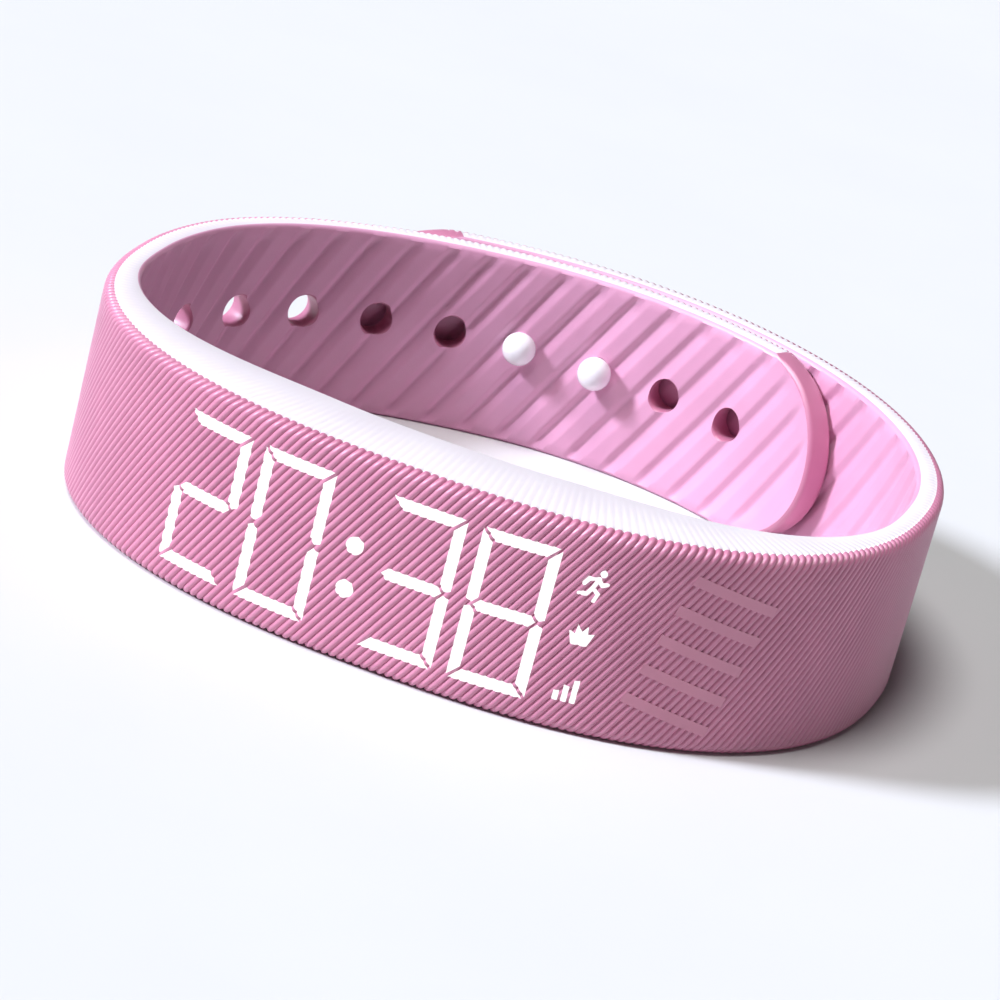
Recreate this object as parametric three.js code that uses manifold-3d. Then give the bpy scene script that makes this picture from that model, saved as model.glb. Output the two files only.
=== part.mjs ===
// Fitness tracker band: a closed silicone loop standing on its rim, with a removable tracker
// capsule in its thick front, and two straps that fasten at the back with a pair of studs.
// Millimetres, +Z up. The origin is on the ground under the middle of the loop, the display
// faces -Y, and the clasp is at the back, on the +Y side.
import * as THREE from 'three';
import { mergeVertices } from 'three/addons/utils/BufferGeometryUtils.js';
import Module from 'manifold-3d';

// Outline of the loop's outer face, seen from above: a superellipse with a squarer front half.
const HALF_WIDTH = 33;
const FRONT_DEPTH = 28;
const BACK_DEPTH = 32;
const FRONT_EXPONENT = 2.4;
const BACK_EXPONENT = 2;
const CENTRE_Y = (FRONT_DEPTH - BACK_DEPTH) / 2;

// Silicone band. Lengths along it, called s, run on the outer face from the middle of the front,
// growing towards +X and round the back.
const BAND_HEIGHT = 16;
const STRAP_THICKNESS = 2.3;
const FRONT_THICKNESS = 8.1;
const FRONT_FLAT = 10;
const FRONT_TAPER = 35;
const LAYER_GAP = 0.3;
const STRAP_EDGE_RADIUS = 1;
const FRONT_EDGE_RADIUS = 1.3;
const INNER_EDGE = 0.25;
const EDGE_STEPS = 3;
const STATION_STEP = 2.6;
const PART_GAP = 0.3;

// Flex lines: where the straps bend when the band is opened.
const BUCKLE_FLEX_S = 66;
const BUCKLE_END_FLEX_S = 84;
const TAIL_FLEX_S = 151.5;

// Ends of the two straps: each closes with a half ellipse.
const BUCKLE_TIP_S = 126.8;
const BUCKLE_TIP_LENGTH = 11;
const TAIL_TIP_S = 75.7;
const TAIL_TIP_LENGTH = 9.5;
const TIP_FIRST_ANGLE = 12;
const TIP_ANGLE_STEP = 13;

// The tail strap steps inwards by one layer to pass under the buckle strap, whose tip lies on it.
const TAIL_STEP_FROM = 111.1;
const TAIL_STEP_TO = 143.5;

// Adjustment holes and the clasp. The studs sit in the third and fourth holes from the tip.
const HOLE_COUNT = 9;
const STUD_HOLES = [2, 3];
const HOLE_PITCH_S = 7.27;
const HOLE_RADIUS = 1.5;
const HOLES_Z = 8.4;
const STUDS_S = 105.6;
const STUD_PITCH = 6.7;
const STUD_TILT_DEGREES = 92.1;
const STUD_HEAD_RADIUS = 1.4;
const STUD_HEAD_BEYOND_TAIL = 0.5;
const STUD_NECK_RADIUS = 1;
const STUD_RIVET_RADIUS = 0.8;
const PLATE_LENGTH = 13.6;
const PLATE_HEIGHT = 8.4;
const PLATE_OUTER = 0.05;
const PLATE_THICKNESS = 0.7;
const PLATE_RECESS_MARGIN = 0.25;
const RIVET_CLEARANCE = 0.15;
const RIVET_SHOULDER_GAP = 0.25;

// Tracker capsule: a flat-sided block that slides straight out of its pocket towards +Y.
const CAPSULE_LEFT = -20.5;
const CAPSULE_RIGHT = 24;
const CAPSULE_BOTTOM = 1.25;
const CAPSULE_TOP = BAND_HEIGHT - CAPSULE_BOTTOM;
const CAPSULE_FRONT = 1.8;
const CAPSULE_BACK_SINK = 0.2;
const CAPSULE_WALL = 0.6;
const COVER_THICKNESS = 0.8;
const GASKET_THICKNESS = 0.4;
const GASKET_WIDTH = 1;
const SEAM_GAP = 0.1;
const POCKET_GAP = 0.25;
const PLAN_BACK_Y = -8;

// Three charging contacts one above another in the back cover.
const CONTACT_S = 10.6;
const CONTACT_RADIUS = 0.8;
const CONTACT_SPACING = 3.2;
const CONTACT_CLEARANCE = 0.15;
const CONTACT_SINK = 0.05;

// Layers inside the capsule, as depths below the band's outer face.
const MASK_FRONT = 2.7;
const MASK_BACK = 2.85;
const GUIDE_FRONT = 2.95;
const GUIDE_BACK = 3.9;
const LED_BOARD_FRONT = 4;
const LED_BOARD_BACK = 4.3;
const PAD_FRONT = 4.4;
const PAD_BACK = 4.7;
const BATTERY_BACK = 6.6;
const MAIN_BOARD_FRONT = 4.7;
const MAIN_BOARD_BACK = 5.1;
const CHIP_FRONT = 5.2;
const CHIP_BACK = 5.9;
const ANTENNA_BACK = 5.6;
const MOTOR_S = 1.9;
const MOTOR_RADIUS = 3.5;
const INSIDE_GAP = 0.2;

// Flat pieces inside the capsule: their ends as lengths s, and what they leave free of the
// cavity's height at the top and at the bottom.
const LAYOUT = {
  lightMask: { from: -18.9, to: 17.3, trim: 0 },
  ledBoard: { from: -18.7, to: 17.1, trim: 0 },
  touchElectrode: { from: 17.9, to: 23.6, trim: 0.6 },
  electrodeLead: { from: 18.2, to: 19.4, trim: 4.4 },
  batteryPad: { from: -15.6, to: -2.6, trim: 0.8 },
  battery: { from: -16, to: -2.2, trim: 0.2 },
  mainBoard: { from: 6.4, to: 20.4, trim: 0 },
  processor: { from: 12.6, to: 16.8, trim: 3.6 },
  motionSensor: { from: 6.9, to: 9.1, trim: 4.6 },
  antenna: { from: 17.8, to: 19.2, trim: 2.8 },
};

// Display: four seven-segment digits, a colon and a column of three small icons.
const DISPLAY_MIDDLE_Z = BAND_HEIGHT / 2;
const DIGIT_HEIGHT = 11.8;
const DIGIT_WIDTH = 5.7;
const DIGIT_STROKE = 1.5;
const DIGIT_CENTRES_S = [-15.35, -8.35, 1.9, 8.95];
const COLON_S = -2.8;
const COLON_WIDTH = 1.8;
const COLON_HEIGHT = 6;
const ICONS_S = 14.65;
const ICON_WIDTH = 2.6;

const TABLE_STEPS = 7200;
const SEARCH_STEPS = 40;
const FRONT_REACH_S = 45;
const wasm = await Module();
wasm.setup();

// A point of the outline for an angle round the loop, measured from the front towards +X.
function outlineAtAngle(angle) {
  const across = Math.sin(angle);
  const along = -Math.cos(angle);
  const exponent = along < 0 ? FRONT_EXPONENT : BACK_EXPONENT;
  const depth = along < 0 ? FRONT_DEPTH : BACK_DEPTH;
  const x = HALF_WIDTH * Math.sign(across) * Math.abs(across) ** (2 / exponent);
  const y = depth * Math.sign(along) * Math.abs(along) ** (2 / exponent);
  return new THREE.Vector2(x, y);
}

function measureOutline() {
  const points = [];
  const lengths = [0];
  for (let i = 0; i <= TABLE_STEPS; i += 1) {
    points.push(outlineAtAngle((2 * Math.PI * i) / TABLE_STEPS));
    if (i > 0) lengths.push(lengths[i - 1] + points[i].distanceTo(points[i - 1]));
  }
  return { points, lengths, perimeter: lengths[TABLE_STEPS] };
}

const outline = measureOutline();

// Outward direction of the superellipse at a point of it.
function outwardAt(point) {
  const exponent = point.y < 0 ? FRONT_EXPONENT : BACK_EXPONENT;
  const depth = point.y < 0 ? FRONT_DEPTH : BACK_DEPTH;
  const x = (Math.sign(point.x) / HALF_WIDTH) * Math.abs(point.x / HALF_WIDTH) ** (exponent - 1);
  const y = (Math.sign(point.y) / depth) * Math.abs(point.y / depth) ** (exponent - 1);
  return new THREE.Vector2(x, y).normalize();
}

// The point at length s round the loop and a depth below its outer face.
function bandPoint(s, depth) {
  const length = ((s % outline.perimeter) + outline.perimeter) % outline.perimeter;
  let low = 0;
  let high = TABLE_STEPS;
  while (high - low > 1) {
    const middle = (low + high) >> 1;
    if (outline.lengths[middle] > length) high = middle;
    else low = middle;
  }
  const share = (length - outline.lengths[low]) / (outline.lengths[high] - outline.lengths[low]);
  const point = outline.points[low].clone().lerp(outline.points[high], share);
  const outward = outwardAt(point);
  point.addScaledVector(outward, -depth);
  point.y += CENTRE_Y;
  return point;
}

// The length s at which the line at a depth crosses a given x, on the front of the loop.
function frontLengthAtX(x, depth) {
  let low = -FRONT_REACH_S;
  let high = FRONT_REACH_S;
  for (let i = 0; i < SEARCH_STEPS; i += 1) {
    const middle = (low + high) / 2;
    if (bandPoint(middle, depth).x < x) low = middle;
    else high = middle;
  }
  return (low + high) / 2;
}

const smooth = (u) => THREE.MathUtils.smoothstep(u, 0, 1);

function bandThickness(s) {
  const taper = smooth((Math.abs(s) - FRONT_FLAT) / FRONT_TAPER);
  return FRONT_THICKNESS + (STRAP_THICKNESS - FRONT_THICKNESS) * taper;
}

function edgeRadius(thickness) {
  const share = (thickness - STRAP_THICKNESS) / (FRONT_THICKNESS - STRAP_THICKNESS);
  return THREE.MathUtils.lerp(STRAP_EDGE_RADIUS, FRONT_EDGE_RADIUS, share);
}

function stations(from, to, step = STATION_STEP) {
  const count = Math.max(1, Math.round((to - from) / step));
  return Array.from({ length: count + 1 }, (_, i) => from + ((to - from) * i) / count);
}

// Points of an edge's quarter round, from angle 0 to 90 degrees.
function quarterRound(radius, steps) {
  return Array.from({ length: steps + 1 }, (_, i) => {
    const angle = (Math.PI / 2) * (i / steps);
    return [radius * (1 - Math.sin(angle)), radius * (1 - Math.cos(angle))];
  });
}

// Section of the band as [depth, z] pairs: rounded edges outside, small bevels inside.
function bandSection(outer, inner, halfHeight) {
  const radius = Math.min(edgeRadius(inner - outer), halfHeight * 0.6);
  const bevel = Math.min(INNER_EDGE, halfHeight * 0.3);
  const low = BAND_HEIGHT / 2 - halfHeight;
  const high = BAND_HEIGHT / 2 + halfHeight;
  const round = quarterRound(radius, EDGE_STEPS);
  return [
    ...round.map(([a, b]) => [outer + b, low + a]),
    [inner - bevel, low],
    [inner, low + bevel],
    [inner, high - bevel],
    [inner - bevel, high],
    ...round.reverse().map(([a, b]) => [outer + b, high - a]),
  ];
}

const blockSection = (outer, inner, low, high) => [
  [outer, low],
  [inner, low],
  [inner, high],
  [outer, high],
];

function closedGeometry(positions, triangles) {
  const geometry = new THREE.BufferGeometry();
  geometry.setAttribute('position', new THREE.Float32BufferAttribute(positions, 3));
  geometry.setIndex(triangles);
  return geometry;
}

// A solid swept along the loop: sectionAt(s) gives the same number of [depth, z] pairs each time.
function sweep(lengths, sectionAt) {
  const positions = [];
  const triangles = [];
  const sides = sectionAt(lengths[0]).length;
  lengths.forEach((s) => {
    sectionAt(s).forEach(([depth, z]) => {
      const point = bandPoint(s, depth);
      positions.push(point.x, point.y, z);
    });
  });
  for (let i = 0; i < lengths.length - 1; i += 1) {
    for (let j = 0; j < sides; j += 1) {
      const a = i * sides + j;
      const b = i * sides + ((j + 1) % sides);
      triangles.push(a, b, b + sides, a, b + sides, a + sides);
    }
  }
  const last = (lengths.length - 1) * sides;
  for (let j = 1; j < sides - 1; j += 1) {
    triangles.push(0, j + 1, j);
    triangles.push(last, last + j, last + j + 1);
  }
  return closedGeometry(positions, triangles);
}

// A curved block between two depths, which may be numbers or functions of s.
function curvedBlock({ from, to, outer, inner, low, high, step }) {
  const outerAt = typeof outer === 'function' ? outer : () => outer;
  const innerAt = typeof inner === 'function' ? inner : () => inner;
  return sweep(stations(from, to, step), (s) => blockSection(outerAt(s), innerAt(s), low, high));
}

function toSolid(geometry) {
  const bare = geometry.clone();
  bare.deleteAttribute('normal');
  bare.deleteAttribute('uv');
  const merged = mergeVertices(bare, 1e-5);
  const vertProperties = new Float32Array(merged.attributes.position.array);
  const triVerts = new Uint32Array(merged.index.array);
  return new wasm.Manifold(new wasm.Mesh({ numProp: 3, vertProperties, triVerts }));
}

function toGeometry(solid) {
  const mesh = solid.getMesh();
  return closedGeometry(Array.from(mesh.vertProperties), Array.from(mesh.triVerts));
}

function cutAway(geometry, cutters) {
  const solid = cutters.reduce((left, cutter) => left.subtract(toSolid(cutter)), toSolid(geometry));
  return toGeometry(solid);
}

// Turns a geometry made along +Y so that +Y points out of the band in the given direction.
function aimOutwards(geometry, point, z, outward) {
  const turn = Math.atan2(outward.y, outward.x) - Math.PI / 2;
  return geometry.rotateZ(turn).translate(point.x, point.y, z);
}

// A round cutter square to the band's outer face at s, between two depths.
function roundCutter(s, z, radius, outer, inner, sides = 14) {
  const cylinder = new THREE.CylinderGeometry(radius, radius, inner - outer, sides);
  const outward = bandPoint(s, 0).sub(bandPoint(s, 1));
  return aimOutwards(cylinder, bandPoint(s, (outer + inner) / 2), z, outward);
}

// Studs and the holes they use share one direction, which lets the studs leave the holes straight.
const tailDepth = STRAP_THICKNESS + LAYER_GAP;
const studOutward = new THREE.Vector2(
  Math.cos(THREE.MathUtils.degToRad(STUD_TILT_DEGREES)),
  Math.sin(THREE.MathUtils.degToRad(STUD_TILT_DEGREES)),
);
const studAlong = new THREE.Vector2(studOutward.y, -studOutward.x);

// Middle of a stud's hole, half way through the tail strap.
function studSeat(side) {
  const middle = bandPoint(STUDS_S, tailDepth + STRAP_THICKNESS / 2);
  return middle.addScaledVector(studAlong, (side * STUD_PITCH) / 2);
}

// How far below the outer face a point near the studs lies, negative outside it.
function depthNearStuds(point) {
  const near = stations(STUDS_S - 10, STUDS_S + 10, 0.05);
  const distance = Math.min(...near.map((s) => bandPoint(s, 0).distanceTo(point)));
  const inside = Math.hypot(point.x / HALF_WIDTH, (point.y - CENTRE_Y) / BACK_DEPTH) < 1;
  return inside ? distance : -distance;
}

// Distance from a stud's seat, along the stud, to a depth below the outer face.
function studReach(side, depth) {
  let low = 0;
  let high = tailDepth + STRAP_THICKNESS;
  for (let i = 0; i < 16; i += 1) {
    const middle = (low + high) / 2;
    const point = studSeat(side).addScaledVector(studOutward, middle);
    if (depthNearStuds(point) > depth) low = middle;
    else high = middle;
  }
  return low;
}

function studCutter(side, radius, from, to) {
  const cylinder = new THREE.CylinderGeometry(radius, radius, to - from, 18);
  cylinder.translate(0, (from + to) / 2, 0);
  return aimOutwards(cylinder, studSeat(side), HOLES_Z, studOutward);
}

// Plan of the capsule or its pocket: a curved front, two flat sides and a straight back that
// lies well inside the loop.
function capsulePlan(left, right, frontDepth) {
  const from = frontLengthAtX(left, frontDepth);
  const to = frontLengthAtX(right, frontDepth);
  const front = stations(from, to).map((s) => bandPoint(s, frontDepth));
  const back = [new THREE.Vector2(right, PLAN_BACK_Y), new THREE.Vector2(left, PLAN_BACK_Y)];
  return new THREE.Shape([...front, ...back]);
}

function uprightBlock(plan, low, high) {
  const settings = { depth: high - low, bevelEnabled: false };
  return new THREE.ExtrudeGeometry(plan, settings).translate(0, 0, low);
}

const coverBack = (s) => bandThickness(s) - CAPSULE_BACK_SINK;
const coverFront = (s) => coverBack(s) - COVER_THICKNESS;
const gasketBack = (s) => coverFront(s) - SEAM_GAP;
const gasketFront = (s) => gasketBack(s) - GASKET_THICKNESS;
const trayBack = (s) => gasketFront(s) - SEAM_GAP;

function bandSleeve() {
  const from = TAIL_FLEX_S - outline.perimeter + PART_GAP / 2;
  const to = BUCKLE_FLEX_S - PART_GAP / 2;
  const body = sweep(stations(from, to), (s) => bandSection(0, bandThickness(s), BAND_HEIGHT / 2));
  const left = CAPSULE_LEFT - POCKET_GAP;
  const right = CAPSULE_RIGHT + POCKET_GAP;
  const pocket = capsulePlan(left, right, CAPSULE_FRONT - PART_GAP);
  const low = CAPSULE_BOTTOM - POCKET_GAP;
  return cutAway(body, [uprightBlock(pocket, low, BAND_HEIGHT - low)]);
}

// Half height of a strap whose end closes with a half ellipse of the given length.
function tipHalfHeight(beyondTip, tipLength) {
  const share = Math.max(0, 1 - beyondTip / tipLength);
  return (BAND_HEIGHT / 2) * Math.sqrt(1 - share * share);
}

// Lengths from a strap's tip, closer together where the end is rounder.
function tipLengths(tipLength) {
  const lengths = [];
  for (let degrees = TIP_FIRST_ANGLE; degrees < 90; degrees += TIP_ANGLE_STEP) {
    lengths.push(tipLength * (1 - Math.cos(THREE.MathUtils.degToRad(degrees))));
  }
  return lengths;
}

function buckleStrapMiddle() {
  const from = BUCKLE_FLEX_S + PART_GAP / 2;
  const to = BUCKLE_END_FLEX_S - PART_GAP / 2;
  return sweep(stations(from, to), () => bandSection(0, STRAP_THICKNESS, BAND_HEIGHT / 2));
}

function tailOffset(s) {
  return tailDepth * (1 - smooth((s - TAIL_STEP_FROM) / (TAIL_STEP_TO - TAIL_STEP_FROM)));
}

// The buckle strap lies on the outline, and its tip follows the tail strap outwards.
const buckleOffset = (s) => tailOffset(s) - tailDepth;

function buckleStrapEnd() {
  const from = BUCKLE_END_FLEX_S + PART_GAP / 2;
  const tip = tipLengths(BUCKLE_TIP_LENGTH).map((length) => BUCKLE_TIP_S - length);
  const lengths = [...stations(from, BUCKLE_TIP_S - BUCKLE_TIP_LENGTH), ...tip.reverse()];
  const body = sweep(lengths, (s) => {
    const outer = buckleOffset(s);
    const halfHeight = tipHalfHeight(BUCKLE_TIP_S - s, BUCKLE_TIP_LENGTH);
    return bandSection(outer, outer + STRAP_THICKNESS, halfHeight);
  });
  const bore = STUD_NECK_RADIUS + PART_GAP;
  const reach = 3 * STRAP_THICKNESS;
  const bores = [-1, 1].map((side) => studCutter(side, bore, 0, reach));
  const recess = plateBlock(PLATE_RECESS_MARGIN, -1, PLATE_OUTER + PLATE_THICKNESS + SEAM_GAP);
  return cutAway(body, [recess, ...bores]);
}

function tailStrap() {
  const tip = tipLengths(TAIL_TIP_LENGTH).map((length) => TAIL_TIP_S + length);
  const rest = stations(TAIL_TIP_S + TAIL_TIP_LENGTH, TAIL_FLEX_S - PART_GAP / 2);
  const body = sweep([...tip, ...rest], (s) => {
    const outer = tailOffset(s);
    const halfHeight = tipHalfHeight(s - TAIL_TIP_S, TAIL_TIP_LENGTH);
    return bandSection(outer, outer + STRAP_THICKNESS, halfHeight);
  });
  const reach = STRAP_THICKNESS;
  const cutters = [-1, 1].map((side) => studCutter(side, HOLE_RADIUS, -reach, reach));
  const middleHole = (STUD_HOLES[0] + STUD_HOLES[1]) / 2;
  for (let i = 0; i < HOLE_COUNT; i += 1) {
    const s = STUDS_S + (i - middleHole) * HOLE_PITCH_S;
    const middle = tailOffset(s) + STRAP_THICKNESS / 2;
    if (!STUD_HOLES.includes(i)) {
      cutters.push(roundCutter(s, HOLES_Z, HOLE_RADIUS, middle - reach, middle + reach));
    }
  }
  return cutAway(body, cutters);
}

function plateBlock(margin, outer, inner) {
  const half = PLATE_HEIGHT / 2 + margin;
  return curvedBlock({
    from: STUDS_S - PLATE_LENGTH / 2 - margin,
    to: STUDS_S + PLATE_LENGTH / 2 + margin,
    outer,
    inner,
    low: HOLES_Z - half,
    high: HOLES_Z + half,
  });
}

function claspPlate() {
  const plate = plateBlock(0, PLATE_OUTER, PLATE_OUTER + PLATE_THICKNESS);
  const rivetHole = STUD_RIVET_RADIUS + RIVET_CLEARANCE;
  return cutAway(plate, [-1, 1].map((side) => studCutter(side, rivetHole, 0, 3 * STRAP_THICKNESS)));
}

// Stud turned on a lathe: rivet end, neck through both straps, and a ball head inside the loop.
function claspStud(side) {
  const headCentre = -(STRAP_THICKNESS / 2 + STUD_HEAD_BEYOND_TAIL);
  const shoulder = studReach(side, PLATE_OUTER + PLATE_THICKNESS) - RIVET_SHOULDER_GAP;
  const rivetEnd = studReach(side, 2 * PLATE_OUTER);
  const neckFrom = headCentre + Math.sqrt(STUD_HEAD_RADIUS ** 2 - STUD_NECK_RADIUS ** 2);
  const profile = [new THREE.Vector2(0, headCentre - STUD_HEAD_RADIUS)];
  const steps = 7;
  const last = Math.PI - Math.asin(STUD_NECK_RADIUS / STUD_HEAD_RADIUS);
  for (let i = 1; i < steps; i += 1) {
    const angle = (last * i) / steps;
    const radius = STUD_HEAD_RADIUS * Math.sin(angle);
    profile.push(new THREE.Vector2(radius, headCentre - STUD_HEAD_RADIUS * Math.cos(angle)));
  }
  profile.push(new THREE.Vector2(STUD_NECK_RADIUS, neckFrom));
  profile.push(new THREE.Vector2(STUD_NECK_RADIUS, shoulder));
  profile.push(new THREE.Vector2(STUD_RIVET_RADIUS, shoulder));
  profile.push(new THREE.Vector2(STUD_RIVET_RADIUS, rivetEnd));
  profile.push(new THREE.Vector2(0, rivetEnd));
  const stud = new THREE.LatheGeometry(profile, 16);
  return aimOutwards(stud, studSeat(side), HOLES_Z, studOutward);
}

// The capsule's outer block, still too deep at the back: each piece of its shell is a slice of it.
function capsuleBlock(margin = 0) {
  const plan = capsulePlan(CAPSULE_LEFT + margin, CAPSULE_RIGHT - margin, CAPSULE_FRONT);
  return uprightBlock(plan, CAPSULE_BOTTOM + margin, CAPSULE_TOP - margin);
}

function sliceBetween(outerBlock, frontDepthAt, backDepthAt) {
  const layer = curvedBlock({
    from: -FRONT_REACH_S,
    to: FRONT_REACH_S,
    outer: frontDepthAt,
    inner: backDepthAt,
    low: -1,
    high: BAND_HEIGHT + 1,
    step: 2,
  });
  return toSolid(outerBlock).intersect(toSolid(layer));
}

function cavityBlock(wall, outer, inner) {
  const from = frontLengthAtX(CAPSULE_LEFT + wall, CAPSULE_FRONT);
  const to = frontLengthAtX(CAPSULE_RIGHT - wall, CAPSULE_FRONT);
  return curvedBlock({
    from,
    to,
    outer,
    inner,
    low: CAPSULE_BOTTOM + wall,
    high: CAPSULE_TOP - wall,
  });
}

const throughBack = FRONT_THICKNESS + 3;

function capsuleTray() {
  const whole = capsuleBlock();
  const shell = sliceBetween(whole, () => 0, trayBack);
  const cavity = cavityBlock(CAPSULE_WALL, CAPSULE_FRONT + CAPSULE_WALL, throughBack);
  return toGeometry(shell.subtract(toSolid(cavity)));
}

function capsuleGasket() {
  const whole = capsuleBlock(SEAM_GAP);
  const layer = sliceBetween(whole, gasketFront, gasketBack);
  return toGeometry(layer.subtract(toSolid(cavityBlock(GASKET_WIDTH, 0, throughBack))));
}

const CONTACT_HEIGHTS = [-1, 0, 1].map((i) => DISPLAY_MIDDLE_Z + i * CONTACT_SPACING);

function capsuleCover() {
  const whole = capsuleBlock();
  const plate = toGeometry(sliceBetween(whole, coverFront, coverBack));
  const radius = CONTACT_RADIUS + CONTACT_CLEARANCE;
  const from = coverFront(CONTACT_S) - 1;
  const to = coverBack(CONTACT_S) + 1;
  return cutAway(plate, CONTACT_HEIGHTS.map((z) => roundCutter(CONTACT_S, z, radius, from, to)));
}

function chargingContact(z) {
  return roundCutter(CONTACT_S, z, CONTACT_RADIUS, CHIP_FRONT, coverBack(CONTACT_S) - CONTACT_SINK);
}

function displayBlock(centre, width, height, outer, inner) {
  return curvedBlock({
    from: centre - width / 2,
    to: centre + width / 2,
    outer,
    inner,
    low: DISPLAY_MIDDLE_Z - height / 2,
    high: DISPLAY_MIDDLE_Z + height / 2,
  });
}

// A digit's light guide: a figure-eight frame whose strokes lie behind the seven segments.
function digitLightGuide(centre) {
  const block = displayBlock(centre, DIGIT_WIDTH, DIGIT_HEIGHT, GUIDE_FRONT, GUIDE_BACK);
  const windowHeight = (DIGIT_HEIGHT - 3 * DIGIT_STROKE) / 2;
  const windows = [-1, 1].map((side) => {
    const middle = DISPLAY_MIDDLE_Z + (side * (windowHeight + DIGIT_STROKE)) / 2;
    return curvedBlock({
      from: centre - DIGIT_WIDTH / 2 + DIGIT_STROKE,
      to: centre + DIGIT_WIDTH / 2 - DIGIT_STROKE,
      outer: GUIDE_FRONT - 1,
      inner: GUIDE_BACK + 1,
      low: middle - windowHeight / 2,
      high: middle + windowHeight / 2,
    });
  });
  return cutAway(block, windows);
}

const colonLightGuide = () => displayBlock(COLON_S, COLON_WIDTH, COLON_HEIGHT, GUIDE_FRONT, GUIDE_BACK);
const iconLightGuide = () => displayBlock(ICONS_S, ICON_WIDTH, DIGIT_HEIGHT, GUIDE_FRONT, GUIDE_BACK);

const INSIDE_LOW = CAPSULE_BOTTOM + CAPSULE_WALL + INSIDE_GAP;
const INSIDE_HIGH = CAPSULE_TOP - CAPSULE_WALL - INSIDE_GAP;

function insideBlock({ from, to, trim }, outer, inner) {
  return curvedBlock({ from, to, outer, inner, low: INSIDE_LOW + trim, high: INSIDE_HIGH - trim });
}

// The coin motor lies flat against the battery's side of the capsule.
function vibrationMotor() {
  return roundCutter(MOTOR_S, DISPLAY_MIDDLE_Z, MOTOR_RADIUS, PAD_BACK, BATTERY_BACK, 24);
}

const silicone = new THREE.MeshStandardMaterial({ color: 0xd987ae, roughness: 0.62, metalness: 0 });
const capsulePlastic = new THREE.MeshStandardMaterial({ color: 0x2b2a2e, roughness: 0.45, metalness: 0 });
const studPlastic = new THREE.MeshStandardMaterial({ color: 0xf3eff1, roughness: 0.2, metalness: 0 });
const sealRubber = new THREE.MeshStandardMaterial({ color: 0x17171a, roughness: 0.8, metalness: 0 });
const lightGuide = new THREE.MeshStandardMaterial({ color: 0xf5f7fa, roughness: 0.35, metalness: 0 });
const circuitBoard = new THREE.MeshStandardMaterial({ color: 0x0f5132, roughness: 0.5, metalness: 0 });
const flexFilm = new THREE.MeshStandardMaterial({ color: 0xc27a1e, roughness: 0.4, metalness: 0 });
const chipResin = new THREE.MeshStandardMaterial({ color: 0x141416, roughness: 0.55, metalness: 0 });
const steel = new THREE.MeshStandardMaterial({ color: 0xb8babd, roughness: 0.3, metalness: 1 });
const cellFoil = new THREE.MeshStandardMaterial({ color: 0xc9ccd1, roughness: 0.35, metalness: 0.8 });
const gold = new THREE.MeshStandardMaterial({ color: 0xd9b25a, roughness: 0.25, metalness: 1 });

const band = new THREE.Group();

function addMesh(name, geometry, material) {
  const mesh = new THREE.Mesh(geometry, material);
  mesh.name = name;
  band.add(mesh);
}

addMesh('band_sleeve', bandSleeve(), silicone);
addMesh('buckle_strap_middle', buckleStrapMiddle(), silicone);
addMesh('buckle_strap_end', buckleStrapEnd(), silicone);
addMesh('tail_strap', tailStrap(), silicone);
addMesh('clasp_plate', claspPlate(), studPlastic);
addMesh('clasp_stud_right', claspStud(1), studPlastic);
addMesh('clasp_stud_left', claspStud(-1), studPlastic);

addMesh('capsule_tray', capsuleTray(), capsulePlastic);
addMesh('capsule_gasket', capsuleGasket(), sealRubber);
addMesh('capsule_cover', capsuleCover(), capsulePlastic);
CONTACT_HEIGHTS.forEach((z, i) => addMesh(`charging_contact_${i + 1}`, chargingContact(z), gold));

addMesh('display_light_mask', insideBlock(LAYOUT.lightMask, MASK_FRONT, MASK_BACK), chipResin);
DIGIT_CENTRES_S.forEach((s, i) => addMesh(`digit_light_guide_${i + 1}`, digitLightGuide(s), lightGuide));
addMesh('colon_light_guide', colonLightGuide(), lightGuide);
addMesh('icon_light_guide', iconLightGuide(), lightGuide);
addMesh('led_board', insideBlock(LAYOUT.ledBoard, LED_BOARD_FRONT, LED_BOARD_BACK), circuitBoard);
addMesh('touch_electrode', insideBlock(LAYOUT.touchElectrode, MASK_FRONT, MASK_BACK), gold);
const lead = insideBlock(LAYOUT.electrodeLead, GUIDE_FRONT, MAIN_BOARD_FRONT - SEAM_GAP);
addMesh('touch_electrode_lead', lead, flexFilm);

addMesh('battery_pad', insideBlock(LAYOUT.batteryPad, PAD_FRONT, PAD_BACK), sealRubber);
addMesh('battery_cell', insideBlock(LAYOUT.battery, PAD_BACK + SEAM_GAP, BATTERY_BACK), cellFoil);
addMesh('vibration_motor', vibrationMotor(), steel);
addMesh('main_board', insideBlock(LAYOUT.mainBoard, MAIN_BOARD_FRONT, MAIN_BOARD_BACK), circuitBoard);
addMesh('processor_chip', insideBlock(LAYOUT.processor, CHIP_FRONT, CHIP_BACK), chipResin);
addMesh('motion_sensor_chip', insideBlock(LAYOUT.motionSensor, CHIP_FRONT, CHIP_BACK), chipResin);
addMesh('radio_antenna_chip', insideBlock(LAYOUT.antenna, CHIP_FRONT, ANTENNA_BACK), studPlastic);

export default band;
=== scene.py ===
"""Fitness tracker band: a ribbed silicone loop with a lit display, a clasp and a tracker capsule."""

from contextlib import contextmanager
from math import atan2, ceil, copysign, cos, pi, radians, sin, sqrt

import bmesh
import bpy
import numpy as np
from mathutils import Matrix, Vector


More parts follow.
